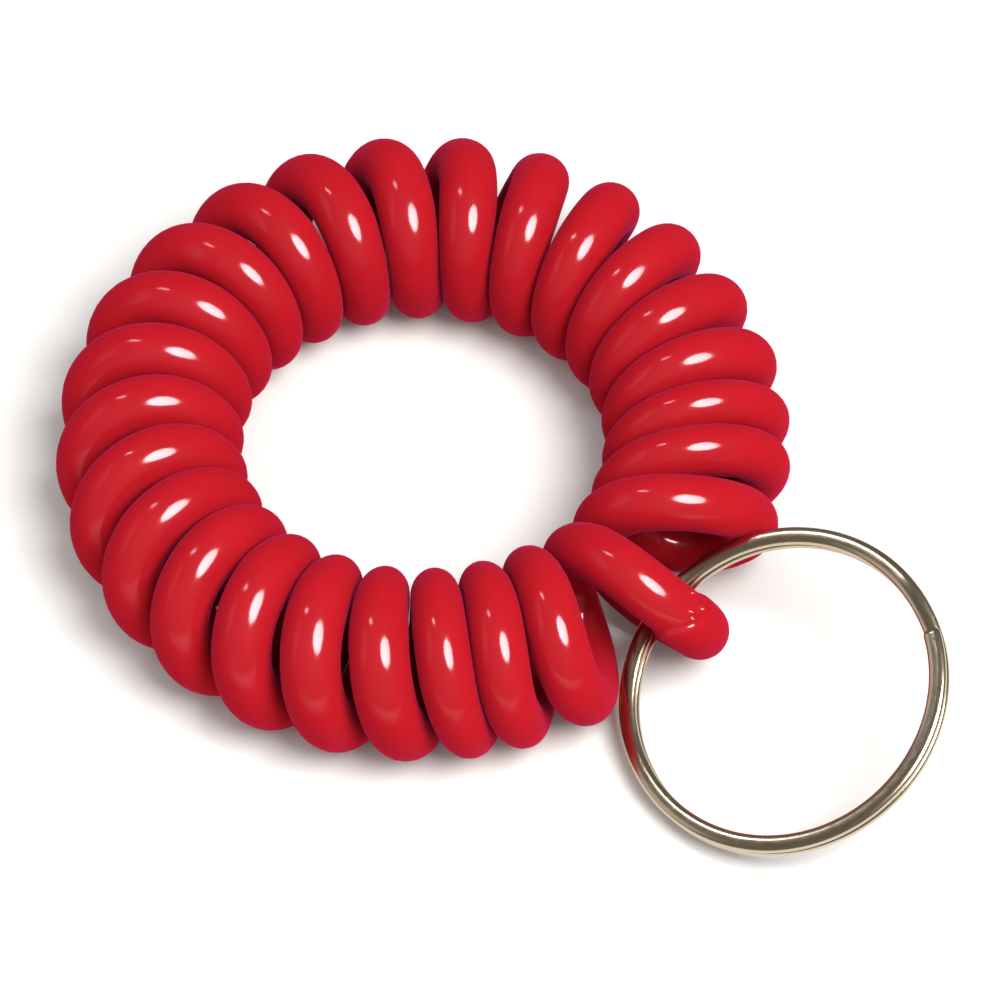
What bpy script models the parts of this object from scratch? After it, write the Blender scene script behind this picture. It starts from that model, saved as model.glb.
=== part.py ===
"""Spiral wristband with a split ring: a cord wound into a coil, bent round into a bracelet and welded.

Metres, +Z up. The band lies flat on Z = 0 and its centre is the origin. Turns are counted round the
band, anticlockwise seen from above; turn 0 carries the weld and the split ring hangs in it.
"""

import math

import bpy
from mathutils import Matrix, Vector

# The band
BAND_RADIUS = 0.0265  # from the band's centre to the middle of the coil
COIL_RADIUS = 0.0064  # from the middle of the coil to the middle of the cord
CORD_RADIUS = 0.0027
PRESS_GAP = 0.0001  # left between two turns where they press on each other
PRESS_SHARPNESS = 14  # how suddenly the cord narrows there
LEAN = math.radians(-1.3)  # the top of each turn is this far clockwise of its middle
TURNS = 26
END_GAP = 0.00015  # each turn stops this short of its neighbour's end
END_TURNS = 0.01  # a short first and last length, so that the ends are cut square

# The spacing of the turns round the band
WELD_ANGLE = math.radians(-45.4)  # where the cord crosses the top just before the weld
WELD_PHASE = 0.25  # the weld is on the outer side, a quarter of a turn after the top
CROWDING = math.radians(3.1)  # the turns crowd towards the weld's side of the band
CROWDING_TURN = 10.0
SPLAY = math.radians(15.0)  # the ring pushes the outer sides of the turns beside the weld apart
SPLAY_TURNS = 1.2  # how soon after the weld the push is at its greatest
SPLAY_REACH = 2.5  # how soon it dies away, in turns
WELD_BULGE = 0.0013  # the welded turn stands out this much further
WELD_BULGE_TURNS = 0.4

# The split ring
RING_OUTER_RADIUS = 0.016
WIRE_WIDTH = 0.0017  # across the ring's plane
WIRE_THICKNESS = 0.00095
WIRE_CORNER = 0.0003
LAYER_GAP = 0.0001
WIRE_TURNS = 1.97
STEP_TURNS = 0.10  # the wire steps from the lower layer to the upper one in this share of a turn
RING_CENTRE = Vector((0.03312, -0.0299, 0.00865))
RING_TILT = math.radians(24.86)
RING_TILT_TOWARDS = math.radians(213.64)
RING_SPLIT_ANGLE = math.radians(65.0)  # from the ring's far side, where its wire ends

# The ring's hinge, where its wire passes through the welded turn
HINGE_INSET = 0.0012  # from the middle of the wire towards the band
HINGE_HEIGHT = 0.0003  # above the middle of the wire
HINGE_SKEW = math.radians(-34.4)  # from the wire's own direction
HINGE_DIP = 0.04

POINTS_PER_TURN = 18
POINTS_PER_RING_TURN = 36

RED_CORD = (0.60, 0.012, 0.022, 1.0)
NICKEL = (0.62, 0.57, 0.48, 1.0)


def remove_scene_objects():
    for obj in list(bpy.data.objects):
        bpy.data.objects.remove(obj, do_unlink=True)


def new_collection(name, hidden=False):
    collection = bpy.data.collections.new(name)
    bpy.context.scene.collection.children.link(collection)
    collection.hide_render = hidden
    return collection


def new_material(name, colour, roughness, metallic):
    material = bpy.data.materials.new(name)
    material.use_nodes = True
    shader = material.node_tree.nodes["Principled BSDF"]
    shader.inputs["Base Color"].default_value = colour
    shader.inputs["Roughness"].default_value = roughness
    shader.inputs["Metallic"].default_value = metallic
    material.diffuse_color = colour
    return material


def turns_past_weld(turn):
    """The turn counted from the weld, from -TURNS / 2 to TURNS / 2."""
    return (turn - WELD_PHASE + TURNS / 2) % TURNS - TURNS / 2


def unfixed_angle(turn):
    lap = 2 * math.pi / TURNS
    return lap * turn + CROWDING * math.sin(lap * (turn - CROWDING_TURN))


def band_angle(turn):
    """The angle round the band at a turn number, which needn't be whole."""
    return WELD_ANGLE + unfixed_angle(turn) - unfixed_angle(0.0)


def outwards(angle):
    return Vector((math.cos(angle), math.sin(angle), 0.0))


def round_coil(turn):
    """The angle round the coil: a whole turn number is at the top, and the cord then runs outwards."""
    return math.pi / 2 - 2 * math.pi * turn


def coil_middle(turn):
    """The middle of the coil, which the cord winds round, at a turn number."""
    middle = BAND_RADIUS * outwards(band_angle(turn))
    middle.z = COIL_RADIUS + CORD_RADIUS
    return middle


def splay(turn):
    """The extra angle on the outer side of the turns that the ring pushes apart."""
    past = turns_past_weld(turn)
    push = math.erf(past / SPLAY_TURNS) * math.exp(-((past / SPLAY_REACH) ** 2))
    return SPLAY * push * (1 + math.cos(round_coil(turn))) / 2


def cord_point(turn):
    """The middle of the cord at a turn number."""
    bulge = WELD_BULGE * math.exp(-((turns_past_weld(turn) / WELD_BULGE_TURNS) ** 2))
    around = round_coil(turn)
    reach = BAND_RADIUS + COIL_RADIUS * math.cos(around) + bulge
    point = reach * outwards(band_angle(turn) + LEAN * math.sin(around) + splay(turn))
    point.z = COIL_RADIUS * (1 + math.sin(around)) + CORD_RADIUS
    return point


def room_beside(turn):
    """Half the distance from the cord's middle to the middle of the nearer turn beside it."""
    here = cord_point(turn)
    along = (cord_point(turn + 0.001) - here).normalized()
    halves = []
    for neighbour in (turn - 1, turn + 1):
        across = cord_point(neighbour) - here
        halves.append((across - across.dot(along) * along).length / 2)
    return min(halves)


def cord_radius(turn):
    """The cord is narrower on the inner side of the band, where its turns press on each other."""
    room = room_beside(turn) - PRESS_GAP / 2
    return (CORD_RADIUS**-PRESS_SHARPNESS + room**-PRESS_SHARPNESS) ** (-1 / PRESS_SHARPNESS)


def new_curve(name, points, radii, depth, collection, material):
    """A curve through the points with filled ends: depth is the radius of a round section."""
    data = bpy.data.curves.new(name, "CURVE")
    data.dimensions = "3D"
    data.bevel_depth = depth
    data.bevel_resolution = 2
    data.use_fill_caps = True
    spline = data.splines.new("POLY")
    spline.points.add(len(points) - 1)
    for target, point, radius in zip(spline.points, points, radii):
        target.co = (*point, 1.0)
        target.radius = radius
    spline.use_smooth = True
    data.materials.append(material)
    obj = bpy.data.objects.new(name, data)
    collection.objects.link(obj)
    return obj


def add_turn(number, name, collection, material):
    """One turn of the cord, from the inner side of the band over the top and back to the inner side."""
    turn_length = 2 * math.pi * COIL_RADIUS
    first = number - 0.25 + END_GAP / turn_length
    last = number + 0.75 - END_GAP / turn_length
    turns = [first + (last - first) * i / POINTS_PER_TURN for i in range(POINTS_PER_TURN + 1)]
    turns = [first, first + END_TURNS, *turns[1:-1], last - END_TURNS, last]
    origin = coil_middle(number + 0.25)
    points = [cord_point(turn) - origin for turn in turns]
    radii = [cord_radius(turn) / CORD_RADIUS for turn in turns]
    obj = new_curve(name, points, radii, CORD_RADIUS, collection, material)
    obj.location = origin
    return obj


def wire_outline(collection):
    """The section of the ring's wire: a flat strip with rounded corners, as a guide for the ring's curve."""
    data = bpy.data.curves.new("split_ring_wire_section", "CURVE")
    data.dimensions = "2D"
    data.fill_mode = "NONE"
    spline = data.splines.new("POLY")
    half_width = WIRE_WIDTH / 2
    half_thickness = WIRE_THICKNESS / 2
    corners = []
    for x_side, y_side in ((1, 1), (1, -1), (-1, -1), (-1, 1)):
        along = (x_side * (half_width - WIRE_CORNER), y_side * half_thickness)
        beside = (x_side * half_width, y_side * (half_thickness - WIRE_CORNER))
        corners += [along, beside] if x_side == y_side else [beside, along]
    spline.points.add(len(corners) - 1)
    for target, (x, y) in zip(spline.points, corners):
        target.co = (x, y, 0.0, 1.0)
    spline.use_cyclic_u = True
    obj = bpy.data.objects.new("split_ring_wire_section", data)
    obj.hide_render = True
    obj.display_type = "WIRE"
    collection.objects.link(obj)
    return obj


def smooth_step(share):
    share = min(max(share, 0.0), 1.0)
    return share * share * (3 - 2 * share)


def wire_height(turn):
    """How high the ring's wire lies, from the lower layer to the upper one, at a number of turns."""
    layer = (WIRE_THICKNESS + LAYER_GAP) / 2
    step_start = WIRE_TURNS / 2 - STEP_TURNS / 2
    return layer * (2 * smooth_step((turn - step_start) / STEP_TURNS) - 1)


def ring_frame():
    """The ring's centre and plane: local X points away from the band, and Z is the ring's axis."""
    normal = math.sin(RING_TILT) * outwards(RING_TILT_TOWARDS)
    normal.z = math.cos(RING_TILT)
    away = Vector((RING_CENTRE.x, RING_CENTRE.y, 0.0))
    away = (away - away.dot(normal) * normal).normalized()
    side = normal.cross(away)
    rotation = Matrix((away, side, normal)).transposed().to_4x4()
    return Matrix.Translation(RING_CENTRE) @ rotation


def hinge_frame():
    """The hinge's place and its axis, as local Z: the axis that the ring flips up and over on."""
    frame = ring_frame()
    wire_radius = RING_OUTER_RADIUS - WIRE_WIDTH / 2
    place = frame @ Vector((-wire_radius - HINGE_INSET, 0.0, HINGE_HEIGHT))
    local_axis = Vector((math.sin(HINGE_SKEW), math.cos(HINGE_SKEW), HINGE_DIP))
    axis = -(frame.to_3x3() @ local_axis).normalized()
    rotation = Vector((0.0, 0.0, 1.0)).rotation_difference(axis).to_matrix().to_4x4()
    return Matrix.Translation(place) @ rotation


def add_split_ring(collection, guides, material):
    """A strip of wire wound twice round, flat but for the step where it changes layer."""
    wire_radius = RING_OUTER_RADIUS - WIRE_WIDTH / 2
    count = round(WIRE_TURNS * POINTS_PER_RING_TURN)
    points = []
    for i in range(count + 1):
        turn = WIRE_TURNS * i / count
        angle = RING_SPLIT_ANGLE + 2 * math.pi * turn
        points.append(wire_radius * outwards(angle) + Vector((0.0, 0.0, wire_height(turn))))
    obj = new_curve("split_ring", points, [1.0] * len(points), 0.0, collection, material)
    obj.data.twist_mode = "Z_UP"
    obj.data.bevel_mode = "OBJECT"
    obj.data.bevel_object = wire_outline(guides)

    hinge = bpy.data.objects.new("split_ring_hinge", None)
    hinge.empty_display_size = 0.005
    hinge.matrix_world = hinge_frame()
    collection.objects.link(hinge)
    obj.parent = hinge
    obj.matrix_local = hinge_frame().inverted() @ ring_frame()
    return obj


def turn_name(number):
    return "welded_turn" if number == 0 else f"coil_turn_{number:02d}"


def main():
    remove_scene_objects()
    band = new_collection("spiral_wristband")
    guides = new_collection("spiral_wristband_guides", hidden=True)
    red_cord = new_material("red_cord", RED_CORD, 0.18, 0.0)
    nickel = new_material("nickel_wire", NICKEL, 0.22, 1.0)
    for number in range(TURNS):
        add_turn(number, turn_name(number), band, red_cord)
    add_split_ring(band, guides, nickel)


main()
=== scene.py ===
"""Spiral wrist coil with its split ring: the visible surfaces, materials, light and camera.

Metres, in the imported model's frame. A turn number counts turns of the cord from the welded turn: a whole
number is at the top of the coil, and a quarter, a half and three quarters past it are the coil's outer
side, underside and inner side.
"""

import math

import bpy
import numpy as np
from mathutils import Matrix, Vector


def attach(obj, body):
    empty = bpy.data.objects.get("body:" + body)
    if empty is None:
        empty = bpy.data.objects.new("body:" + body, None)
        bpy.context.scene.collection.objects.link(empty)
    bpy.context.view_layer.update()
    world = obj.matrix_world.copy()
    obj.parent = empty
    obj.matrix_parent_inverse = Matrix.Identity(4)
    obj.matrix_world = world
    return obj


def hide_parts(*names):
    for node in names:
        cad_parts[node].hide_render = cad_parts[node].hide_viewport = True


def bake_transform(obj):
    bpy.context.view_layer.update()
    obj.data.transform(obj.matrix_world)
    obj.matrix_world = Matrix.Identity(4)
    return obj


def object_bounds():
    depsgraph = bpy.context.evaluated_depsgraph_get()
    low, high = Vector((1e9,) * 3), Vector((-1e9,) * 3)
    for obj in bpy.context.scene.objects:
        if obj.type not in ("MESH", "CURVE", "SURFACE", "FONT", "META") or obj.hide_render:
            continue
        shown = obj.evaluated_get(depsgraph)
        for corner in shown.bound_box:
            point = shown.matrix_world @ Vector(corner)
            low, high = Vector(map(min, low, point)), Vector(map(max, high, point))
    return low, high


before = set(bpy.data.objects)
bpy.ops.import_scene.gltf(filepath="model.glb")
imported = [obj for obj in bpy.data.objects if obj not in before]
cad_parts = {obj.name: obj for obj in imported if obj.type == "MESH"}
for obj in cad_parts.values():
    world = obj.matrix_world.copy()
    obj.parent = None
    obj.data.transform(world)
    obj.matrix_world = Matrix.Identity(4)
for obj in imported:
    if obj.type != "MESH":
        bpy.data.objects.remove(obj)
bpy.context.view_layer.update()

# The band: the CAD model's path, with a slightly fuller cord
BAND_RADIUS = 0.0265
COIL_RADIUS = 0.0064
CORD_RADIUS = 0.0027
FLATTENED = 0.00016  # how much wider than high the cord is, away from the split ring
FLATTENED_FROM = 2.0  # turns from the weld
PRESS_GAP = 0.00003  # between two turns where they press on each other
PRESS_SHARPNESS = 36
LEAN = math.radians(-1.3)
TURNS = 26
WELD_ANGLE = math.radians(-45.4)
WELD_PHASE = 0.25
CROWDING = math.radians(3.1)
CROWDING_TURN = 10.0
SPLAY = math.radians(15.0)
SPLAY_TURNS = 1.2
SPLAY_REACH = 2.5
WELD_BULGE = 0.0013
WELD_BULGE_TURNS = 0.4

# The split ring: the CAD model's, with its two layers closer together
RING_OUTER_RADIUS = 0.016
WIRE_WIDTH = 0.0017
WIRE_THICKNESS = 0.00098
LAYER_GAP = 0.00004
WIRE_TURNS = 1.97
STEP_TURNS = 0.10
WIRE_SQUARENESS = 2.5  # 2 would be an oval section, and more is squarer
WIRE_END_WIDTH = 0.72  # of the full section, at the wire's two ends
WIRE_END_TAPER = 0.0004
RING_CENTRE = np.array((0.03312, -0.0299, 0.00865))
RING_TILT = math.radians(24.86)
RING_TILT_TOWARDS = math.radians(213.64)
RING_SPLIT_ANGLE = math.radians(65.0)

# Mesh density
CORD_STEPS = 64  # along one turn
CORD_SIDES = 32
WELD_STEPS = 420
WELD_FINE_FROM = 0.10  # half of the welded turn's steps lie between these turn numbers
WELD_FINE_TO = 0.36
WELD_SIDES = 160
WIRE_STEPS = 700
WIRE_SIDES = 32
WIRE_END_TURNS = 0.005  # finer steps in this much of a turn at each end of the wire
WIRE_END_STEPS = 12

# The weld: the upper strand's end laps over the other end of the cord
SEAM_TURN = 0.170
SEAM_SLANT = 0.027  # turns that the seam runs forward at its far side
SEAM_WIDTH = 0.012  # turns
LOBE_TURNS = 0.11  # the cord swells past the seam, for about this far
LOBE_SWELL = 0.00024
SEAM_GROOVE = 0.00007
SEAM_GROOVE_WIDTH = 0.45 * SEAM_WIDTH
# Beads of melted plastic by the seam: turns past it, degrees round the cord, height and radius in mm
WELD_BEADS = (
    (-0.044, 40, 0.42, 0.34),
    (-0.009, 24, 0.34, 0.28),
    (-0.018, 29, 0.20, 0.24),
    (-0.019, 3, 0.26, 0.21),
    (-0.006, -5, 0.28, 0.23),
)

# Colours
CORD_RED = (0.285, 0.0060, 0.010, 1.0)
CORD_RED_PALE = (0.325, 0.0075, 0.015, 1.0)
CORD_RED_DEEP = (0.26, 0.0055, 0.009, 1.0)
CORD_GLOSS_TINT = (1.0, 0.70, 0.75, 1.0)
CORD_SHEEN_TINT = (1.0, 0.10, 0.42, 1.0)
NICKEL = (0.46, 0.38, 0.27, 1.0)
NICKEL_PALE = (0.58, 0.495, 0.375, 1.0)
FLOOR_GREY = (0.60, 0.60, 0.60, 1.0)
FLOOR_GREY_PALE = (0.64, 0.64, 0.64, 1.0)
SKY_COLOUR = (1.0, 0.93, 0.85, 1.0)
SKY_AT_HORIZON = 0.25  # strength
SKY_OVERHEAD = 0.16

# Camera, at the band's centre height
CAMERA_ELEVATION = math.radians(53.0)
CAMERA_DISTANCE = 0.49
CAMERA_LENS = 182.0
AIM_RIGHT = 0.0073
AIM_DOWN = 0.00605


# --------------------------------------------------------------------------- the cord's path


def turns_past_weld(turn):
    return (turn - WELD_PHASE + TURNS / 2) % TURNS - TURNS / 2


def unfixed_angle(turn):
    lap = 2 * math.pi / TURNS
    return lap * turn + CROWDING * np.sin(lap * (turn - CROWDING_TURN))


def band_angle(turn):
    return WELD_ANGLE + unfixed_angle(turn) - unfixed_angle(0.0)


def splay(turn):
    past = turns_past_weld(turn)
    push = np.vectorize(math.erf)(past / SPLAY_TURNS) * np.exp(-((past / SPLAY_REACH) ** 2))
    return SPLAY * push * (1 + np.cos(math.pi / 2 - 2 * math.pi * turn)) / 2


def cord_path(turn):
    """The cord's middle, and the direction from the coil's middle to it, at each turn number."""
    turn = np.asarray(turn, float)
    around = math.pi / 2 - 2 * math.pi * turn
    angle = band_angle(turn) + LEAN * np.sin(around) + splay(turn)
    across = np.stack([np.cos(angle), np.sin(angle), np.zeros_like(angle)], -1)
    up = np.array((0.0, 0.0, 1.0))
    bulge = WELD_BULGE * np.exp(-((turns_past_weld(turn) / WELD_BULGE_TURNS) ** 2))
    spoke = np.cos(around)[..., None] * across + np.sin(around)[..., None] * up
    middle = (BAND_RADIUS + bulge)[..., None] * across + (COIL_RADIUS + CORD_RADIUS) * up
    return middle + COIL_RADIUS * spoke, spoke


def unit(vectors):
    return vectors / np.linalg.norm(vectors, axis=-1, keepdims=True)


def cord_axes(turn):
    """The cord's middle with its outward, sideways and lengthwise directions at each turn number."""
    tiny = 1e-4
    middle, spoke = cord_path(turn)
    along = unit(cord_path(turn + tiny)[0] - cord_path(turn - tiny)[0])
    out = unit(spoke - (spoke * along).sum(-1, keepdims=True) * along)
    side = np.cross(out, along)
    return middle, out, side, along


def room_beside(turn):
    """Half the distance from the cord's middle to the middle of the nearer turn beside it."""
    here, _, _, along = cord_axes(turn)
    halves = []
    for neighbour in (turn - 1, turn + 1):
        across = cord_path(neighbour)[0] - here
        across = across - (across * along).sum(-1, keepdims=True) * along
        halves.append(np.linalg.norm(across, axis=-1) / 2)
    return np.minimum(*halves)


# --------------------------------------------------------------------------- the cord's surface


def smooth_step(share):
    share = np.clip(share, 0.0, 1.0)
    return share * share * (3 - 2 * share)


def uneven(turn, round_cord):
    """The small unevenness that winding and heating leave in a cord, in metres."""
    lap = 2 * math.pi * turn / TURNS
    long_wave = np.sin(31 * lap + 2 * round_cord) + np.sin(83 * lap - round_cord)
    short_wave = np.sin(139 * lap + 3 * round_cord) + np.sin(211 * lap - 2 * round_cord)
    return 0.000010 * long_wave + 0.000004 * short_wave


def weld_relief(turn, round_cord):
    """How far the welded turn's surface stands out from a plain cord, in metres."""
    seam = SEAM_TURN + SEAM_SLANT * np.sin(round_cord)
    past = turn - seam
    lobe = smooth_step(past / SEAM_WIDTH + 0.5) * np.exp(-((np.maximum(past, 0) / LOBE_TURNS) ** 2))
    groove = np.exp(-((past / SEAM_GROOVE_WIDTH) ** 2))
    relief = LOBE_SWELL * lobe - SEAM_GROOVE * groove
    turn_length = 2 * math.pi * COIL_RADIUS
    for past_bead, degrees, height, radius in WELD_BEADS:
        lengthwise = (past - past_bead) * turn_length
        sideways = (round_cord - math.radians(degrees) + math.pi) % (2 * math.pi) - math.pi
        distance = np.hypot(lengthwise, sideways * CORD_RADIUS) / (radius * 0.001)
        relief = relief + height * 0.001 * np.exp(-(distance**2))
    return relief


def cord_surface(turn, round_cord, welded):
    """Points of the cord's surface: turn runs down the rows, and round_cord, the angle, across them."""
    middle, out, side, _ = cord_axes(turn[:, 0])
    away = 1 - np.exp(-((turns_past_weld(turn[:, 0]) / FLATTENED_FROM) ** 4))
    full_width = (CORD_RADIUS + FLATTENED * away) / CORD_RADIUS
    room = (room_beside(turn[:, 0]) - PRESS_GAP / 2) / CORD_RADIUS
    pressed = full_width**-PRESS_SHARPNESS + room**-PRESS_SHARPNESS
    half_width = CORD_RADIUS * pressed ** (-1 / PRESS_SHARPNESS)
    relief = uneven(turn, round_cord)
    if welded:
        relief = relief + weld_relief(turn, round_cord)
    outward = (CORD_RADIUS + relief) * np.cos(round_cord)
    sideways = (half_width[:, None] + relief) * np.sin(round_cord)
    return middle[:, None] + outward[..., None] * out[:, None] + sideways[..., None] * side[:, None]


def grid_faces(rows, columns, close_ends=False):
    """Quads of a tube whose points run round each row, and one face over each end if it is closed."""
    row, column = np.meshgrid(np.arange(rows - 1), np.arange(columns), indexing="ij")
    following = (column + 1) % columns
    corners = (
        row * columns + column,
        (row + 1) * columns + column,
        (row + 1) * columns + following,
        row * columns + following,
    )
    quads = np.stack(corners, -1).reshape(-1, 4).tolist()
    if close_ends:
        quads.append(list(range(columns)))
        quads.append(list(range((rows - 1) * columns, rows * columns))[::-1])
    return quads


def new_tube(name, points, normals, lengths, rounds, material, close_ends=False):
    """A mesh tube over a grid of points, with its normals and a UV map in metres."""
    rows, columns = points.shape[:2]
    faces = grid_faces(rows, columns, close_ends)
    mesh = bpy.data.meshes.new(name)
    mesh.from_pydata(points.reshape(-1, 3).tolist(), [], faces)
    mesh.polygons.foreach_set("use_smooth", [len(face) == 4 for face in faces])
    uv_map = mesh.uv_layers.new(name="UVMap")
    loop_vertices = np.empty(len(mesh.loops), np.int32)
    mesh.loops.foreach_get("vertex_index", loop_vertices)
    row, column = loop_vertices // columns, loop_vertices % columns
    wrapped = np.zeros(len(loop_vertices), bool)
    quad_loops = (rows - 1) * columns * 4
    last_column = np.repeat(np.arange((rows - 1) * columns) % columns == columns - 1, 4)
    wrapped[:quad_loops] = last_column & (column[:quad_loops] == 0)
    around = np.where(wrapped, rounds[-1] + (rounds[1] - rounds[0]), rounds[column])
    uv_map.data.foreach_set("uv", np.stack([lengths[row], around], -1).astype(np.float32).ravel())
    if normals is not None:
        mesh.normals_split_custom_set_from_vertices(normals.reshape(-1, 3).tolist())
    mesh.materials.append(material)
    obj = bpy.data.objects.new(name, mesh)
    bpy.context.scene.collection.objects.link(obj)
    return obj


def cord_piece(name, turn, sides, welded, material):
    round_cord = np.arange(sides) * 2 * math.pi / sides
    turn_grid, round_grid = np.meshgrid(turn, round_cord, indexing="ij")
    tiny_turn, tiny_angle = 2e-4, 2e-3
    points = cord_surface(turn_grid, round_grid, welded)
    lengthwise = cord_surface(turn_grid + tiny_turn, round_grid, welded)
    lengthwise = lengthwise - cord_surface(turn_grid - tiny_turn, round_grid, welded)
    roundwise = cord_surface(turn_grid, round_grid + tiny_angle, welded)
    roundwise = roundwise - cord_surface(turn_grid, round_grid - tiny_angle, welded)
    normals = unit(np.cross(lengthwise, roundwise))
    turn_length = 2 * math.pi * COIL_RADIUS
    return new_tube(name, points, normals, turn * turn_length, round_cord * CORD_RADIUS, material)


def body_name(number):
    return "welded_turn" if number == 0 else f"coil_turn_{number:02d}"


def add_cord(material):
    """The cord, a piece for each turn, from underside to underside."""
    evenly = np.linspace(-0.5, 0.5, CORD_STEPS + 1)
    for number in range(TURNS):
        welded = number == 0
        turn = number + evenly
        if welded:
            fine = np.linspace(WELD_FINE_FROM, WELD_FINE_TO, WELD_STEPS // 2)
            coarse = np.linspace(-0.5, 0.5, WELD_STEPS // 2 + 1)
            turn = np.concatenate([coarse[coarse < fine[0]], fine, coarse[coarse > fine[-1]]])
        sides = WELD_SIDES if welded else CORD_SIDES
        name = "cord_weld" if welded else f"cord_turn_{number:02d}"
        piece = cord_piece(name, turn, sides, welded, material)
        if welded:
            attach(piece, body_name(0))
        else:
            stretch_between(piece, number)
        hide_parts(body_name(number))


def stretch_between(piece, number):
    """Bakes the piece's placement into its mesh."""
    first, last = cord_path(number - 0.5)[0], cord_path(number + 0.5)[0]
    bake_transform(piece)


# --------------------------------------------------------------------------- the split ring


def ring_axes():
    """The ring's plane: away from the band, sideways, and its axis."""
    lean = math.sin(RING_TILT)
    towards = np.array((math.cos(RING_TILT_TOWARDS), math.sin(RING_TILT_TOWARDS), 0.0))
    normal = lean * towards + np.array((0.0, 0.0, math.cos(RING_TILT)))
    away = np.array((RING_CENTRE[0], RING_CENTRE[1], 0.0))
    away = unit(away - (away @ normal) * normal)
    return away, np.cross(normal, away), normal


def wire_surface(turn, round_wire):
    """Points of the ring's wire: a flattened strip with a crowned face, tapered at its two ends."""
    away, side, normal = ring_axes()
    angle = RING_SPLIT_ANGLE + 2 * math.pi * turn
    spoke = np.cos(angle)[..., None] * away + np.sin(angle)[..., None] * side
    layer = (WIRE_THICKNESS + LAYER_GAP) / 2
    step_start = WIRE_TURNS / 2 - STEP_TURNS / 2
    height = layer * (2 * smooth_step((turn - step_start) / STEP_TURNS) - 1)
    to_end = np.minimum(turn, WIRE_TURNS - turn) * 2 * math.pi * RING_OUTER_RADIUS
    taper = WIRE_END_WIDTH + (1 - WIRE_END_WIDTH) * np.sqrt(np.clip(to_end / WIRE_END_TAPER, 0.0, 1.0))
    power = 2 / WIRE_SQUARENESS
    cosine, sine = np.cos(round_wire), np.sin(round_wire)
    wide = np.sign(cosine) * np.abs(cosine) ** power * WIRE_WIDTH / 2 * taper
    high = np.sign(sine) * np.abs(sine) ** power * WIRE_THICKNESS / 2 * taper
    radius = RING_OUTER_RADIUS - WIRE_WIDTH / 2 + wide
    return RING_CENTRE + radius[..., None] * spoke + (height + high)[..., None] * normal


def add_split_ring(material):
    near_end = WIRE_END_TURNS * np.linspace(0.0, 1.0, WIRE_END_STEPS) ** 2
    middle = np.linspace(near_end[-1], WIRE_TURNS - near_end[-1], WIRE_STEPS)[1:-1]
    turn = np.concatenate([near_end, middle, WIRE_TURNS - near_end[::-1]])
    round_wire = (np.arange(WIRE_SIDES) + 0.5) * 2 * math.pi / WIRE_SIDES
    turn_grid, round_grid = np.meshgrid(turn, round_wire, indexing="ij")
    points = wire_surface(turn_grid, round_grid)
    lengths = turn * 2 * math.pi * RING_OUTER_RADIUS
    rounds = round_wire * (WIRE_WIDTH + WIRE_THICKNESS) / 4
    piece = new_tube("split_ring_wire", points, None, lengths, rounds, material, close_ends=True)
    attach(piece, "split_ring")
    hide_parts("split_ring")


# --------------------------------------------------------------------------- materials


class NodeBuilder:
    """Adds nodes to a material and links them, with input values given by name."""

    def __init__(self, name):
        self.material = bpy.data.materials.new(name)
        self.material.use_nodes = True
        self.tree = self.material.node_tree
        self.shader = self.tree.nodes["Principled BSDF"]

    def add(self, kind, settings=(), **inputs):
        node = self.tree.nodes.new(kind)
        for setting, value in dict(settings).items():
            setattr(node, setting, value)
        for name, value in inputs.items():
            self.set(node, name.replace("_", " "), value)
        return node

    def set(self, node, name, value):
        socket = node.inputs[int(name)] if name.isdigit() else node.inputs[name]
        if isinstance(value, bpy.types.NodeSocket):
            self.tree.links.new(value, socket)
        else:
            socket.default_value = value

    def noise(self, vector, scale, detail=2.0):
        node = self.add("ShaderNodeTexNoise", Vector=vector, Scale=scale, Detail=detail)
        return node.outputs["Fac"]

    def stretched(self, vector, scale):
        node = self.add("ShaderNodeMapping", Vector=vector, Scale=scale)
        return node.outputs["Vector"]

    def between(self, value, low, high):
        node = self.add("ShaderNodeMapRange", Value=value, To_Min=low, To_Max=high)
        return node.outputs["Result"]

    def mixed(self, share, first, second):
        node = self.add("ShaderNodeMix", {"data_type": "RGBA"}, Factor=share)
        for index, value in ((6, first), (7, second)):
            self.set(node, str(index), value)
        return node.outputs[2]

    def bump(self, height, strength, distance, normal=None):
        node = self.add("ShaderNodeBump", Height=height, Strength=strength, Distance=distance)
        if normal is not None:
            self.set(node, "Normal", normal)
        return node.outputs["Normal"]


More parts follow.
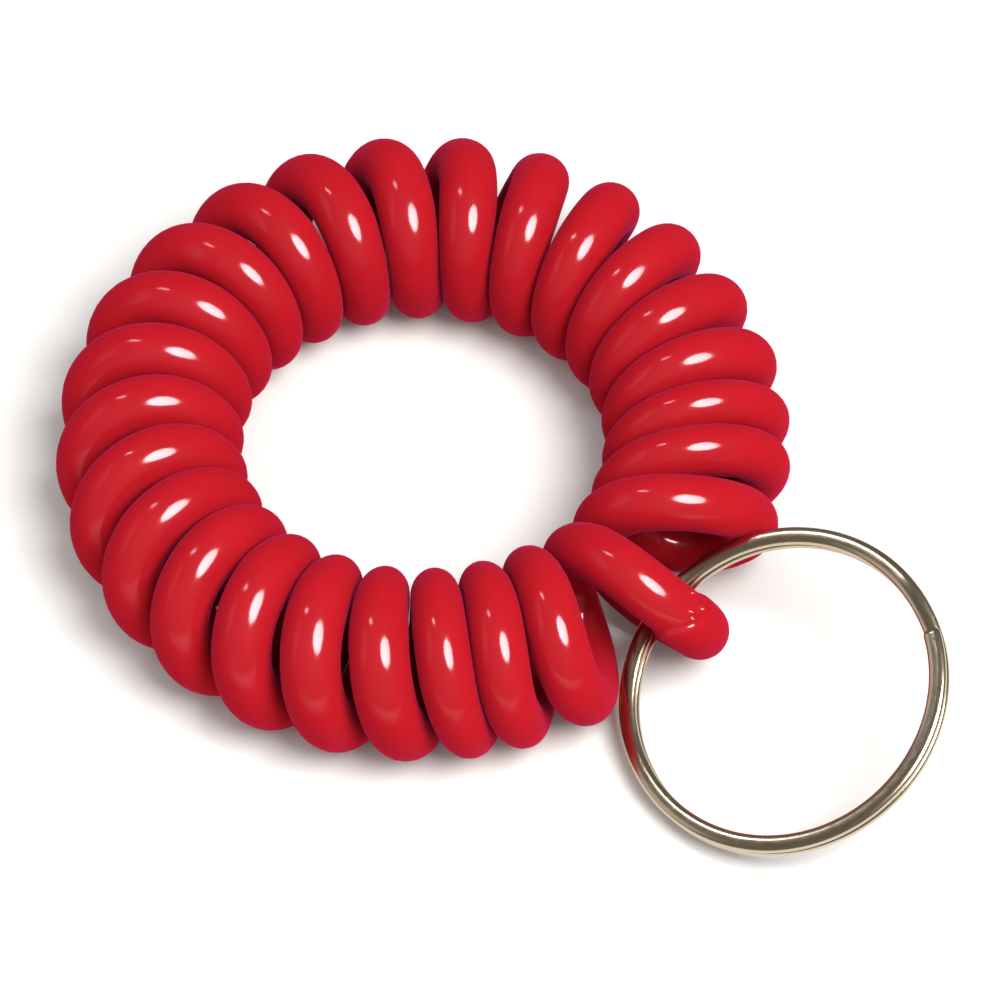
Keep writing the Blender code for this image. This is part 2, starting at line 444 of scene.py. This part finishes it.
def red_cord_material():
    build = NodeBuilder("red_cord_gloss")
    coordinates = build.add("ShaderNodeTexCoord")
    place, along = coordinates.outputs["Object"], coordinates.outputs["UV"]
    patches = build.noise(place, scale=160.0, detail=3.0)
    flow = build.noise(build.stretched(along, (140.0, 2600.0, 1.0)), scale=1.0, detail=3.0)
    shade = build.mixed(build.between(patches, 0.0, 1.0), CORD_RED, CORD_RED_PALE)
    shade = build.mixed(build.between(flow, 0.0, 0.18), shade, CORD_RED_DEEP)
    waves = build.noise(place, scale=420.0, detail=1.0)
    grain = build.noise(place, scale=5200.0, detail=2.0)
    normal = build.bump(waves, strength=0.20, distance=0.00006)
    normal = build.bump(flow, strength=0.10, distance=0.00002, normal=normal)
    normal = build.bump(grain, strength=0.05, distance=0.00001, normal=normal)
    shader = build.shader
    build.set(shader, "Base Color", shade)
    # The gloss fades where the surface turns away, so that the cord stays red at its edges
    edge_on = build.add("ShaderNodeLayerWeight", Blend=0.5).outputs["Facing"]
    gloss = build.add("ShaderNodeMapRange", Value=edge_on, From_Max=0.22, To_Min=0.95, To_Max=0.0)
    build.set(shader, "Roughness", build.between(patches, 0.10, 0.15))
    build.set(shader, "IOR", 1.49)
    build.set(shader, "Specular IOR Level", gloss.outputs["Result"])
    build.set(shader, "Specular Tint", CORD_GLOSS_TINT)
    build.set(shader, "Subsurface Weight", 0.45)
    build.set(shader, "Subsurface Radius", (1.0, 0.10, 0.08))
    build.set(shader, "Subsurface Scale", 0.0026)
    build.set(shader, "Sheen Weight", 0.15)
    build.set(shader, "Sheen Roughness", 0.35)
    build.set(shader, "Sheen Tint", CORD_SHEEN_TINT)
    build.set(shader, "Normal", normal)
    return build.material


def nickel_material():
    build = NodeBuilder("nickel_plate")
    coordinates = build.add("ShaderNodeTexCoord")
    place, along = coordinates.outputs["Object"], coordinates.outputs["UV"]
    tone = build.noise(place, scale=260.0, detail=3.0)
    drawn = build.noise(build.stretched(along, (90.0, 9000.0, 1.0)), scale=1.0, detail=4.0)
    scuffs = build.noise(build.stretched(along, (900.0, 5000.0, 1.0)), scale=1.0, detail=5.0)
    colour = build.mixed(build.between(tone, 0.0, 1.0), NICKEL, NICKEL_PALE)
    shader = build.shader
    build.set(shader, "Base Color", colour)
    build.set(shader, "Metallic", 1.0)
    build.set(shader, "Roughness", build.between(scuffs, 0.10, 0.30))
    normal = build.bump(drawn, strength=0.08, distance=0.00002)
    normal = build.bump(scuffs, strength=0.05, distance=0.00002, normal=normal)
    build.set(shader, "Normal", normal)
    return build.material


def floor_material():
    build = NodeBuilder("pale_table")
    place = build.add("ShaderNodeTexCoord").outputs["Object"]
    colour = build.mixed(build.noise(place, scale=30.0, detail=4.0), FLOOR_GREY, FLOOR_GREY_PALE)
    build.set(build.shader, "Base Color", colour)
    build.set(build.shader, "Roughness", 0.85)
    grain = build.noise(place, scale=900.0, detail=3.0)
    build.set(build.shader, "Normal", build.bump(grain, strength=0.05, distance=0.0002))
    return build.material


# --------------------------------------------------------------------------- floor, light and camera


def camera_axes():
    """The directions right, up and back of a camera that looks along +Y and down."""
    sine, cosine = math.sin(CAMERA_ELEVATION), math.cos(CAMERA_ELEVATION)
    return Vector((1, 0, 0)), Vector((0, sine, cosine)), Vector((0, -cosine, sine))


def band_centre():
    return Vector((0.0, 0.0, COIL_RADIUS + CORD_RADIUS))


def add_camera():
    right, up, back = camera_axes()
    data = bpy.data.cameras.new("camera")
    data.lens = CAMERA_LENS
    data.sensor_width = 36.0
    data.clip_start, data.clip_end = 0.01, 20.0
    camera = bpy.data.objects.new("camera", data)
    bpy.context.scene.collection.objects.link(camera)
    camera.location = band_centre() + CAMERA_DISTANCE * back
    aim = band_centre() + AIM_RIGHT * right - AIM_DOWN * up
    camera.rotation_mode = "QUATERNION"
    camera.rotation_quaternion = (aim - camera.location).to_track_quat("-Z", "Y")
    bpy.context.scene.camera = camera


def add_softbox(name, right_degrees, up_degrees, distance, size, watts, colour, mirrored=True):
    """A softbox that a surface mirrors where it leans this far right and up from the camera.

    A softbox that isn't mirrored lights the surfaces, but no highlight shows it.
    """
    right, up, back = camera_axes()
    to_right, to_top = math.tan(math.radians(right_degrees)), math.tan(math.radians(up_degrees))
    lean = Vector((to_right, to_top, 1.0)).normalized()
    half = lean.x * right + lean.y * up + lean.z * back
    towards = 2 * half.dot(back) * half - back
    data = bpy.data.lights.new(name, "AREA")
    data.shape = "ELLIPSE"
    data.size, data.size_y = size
    data.energy = watts
    data.color = colour
    light = bpy.data.objects.new(name, data)
    light.visible_glossy = mirrored
    bpy.context.scene.collection.objects.link(light)
    light.location = band_centre() + distance * towards
    light.rotation_mode = "QUATERNION"
    light.rotation_quaternion = (-towards).to_track_quat("-Z", "Y")


def add_lights():
    add_softbox(
        "key_softbox",
        right_degrees=11.0,
        up_degrees=7.0,
        distance=0.8,
        size=(0.48, 0.48),
        watts=10.5,
        colour=(1.0, 0.98, 0.95),
    )
    add_softbox(
        "back_softbox",
        right_degrees=-16.0,
        up_degrees=26.0,
        distance=0.9,
        size=(0.10, 0.20),
        watts=0.8,
        colour=(0.92, 0.95, 1.0),
    )
    add_softbox(
        "left_softbox",
        right_degrees=-36.0,
        up_degrees=12.0,
        distance=1.0,
        size=(0.9, 0.9),
        watts=1.2,
        colour=(0.96, 0.94, 1.0),
    )
    add_softbox(
        "fill_softbox",
        right_degrees=0.0,
        up_degrees=4.0,
        distance=0.8,
        size=(0.9, 0.9),
        watts=4.8,
        colour=(1.0, 0.99, 0.97),
        mirrored=False,
    )


def add_world():
    """Dim surroundings, brighter towards the horizon."""
    world = bpy.data.worlds.new("studio")
    world.use_nodes = True
    tree = world.node_tree
    direction = tree.nodes.new("ShaderNodeTexCoord")
    parts = tree.nodes.new("ShaderNodeSeparateXYZ")
    tree.links.new(direction.outputs["Generated"], parts.inputs[0])
    ramp = tree.nodes.new("ShaderNodeMapRange")
    ramp.inputs["From Min"].default_value = 0.0
    ramp.inputs["From Max"].default_value = 0.9
    ramp.inputs["To Min"].default_value = SKY_AT_HORIZON
    ramp.inputs["To Max"].default_value = SKY_OVERHEAD
    tree.links.new(parts.outputs["Z"], ramp.inputs["Value"])
    background = tree.nodes["Background"]
    background.inputs["Color"].default_value = SKY_COLOUR
    tree.links.new(ramp.outputs["Result"], background.inputs["Strength"])
    bpy.context.scene.world = world


def add_floor():
    bpy.ops.mesh.primitive_plane_add(size=6.0, location=(0.0, 0.0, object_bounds()[0][2]))
    floor = bpy.context.active_object
    floor.name = "table_top"
    floor.data.materials.append(floor_material())


def main():
    add_cord(red_cord_material())
    add_split_ring(nickel_material())
    add_floor()
    add_world()
    add_lights()
    add_camera()
    bpy.context.scene.view_settings.view_transform = "Standard"


main()
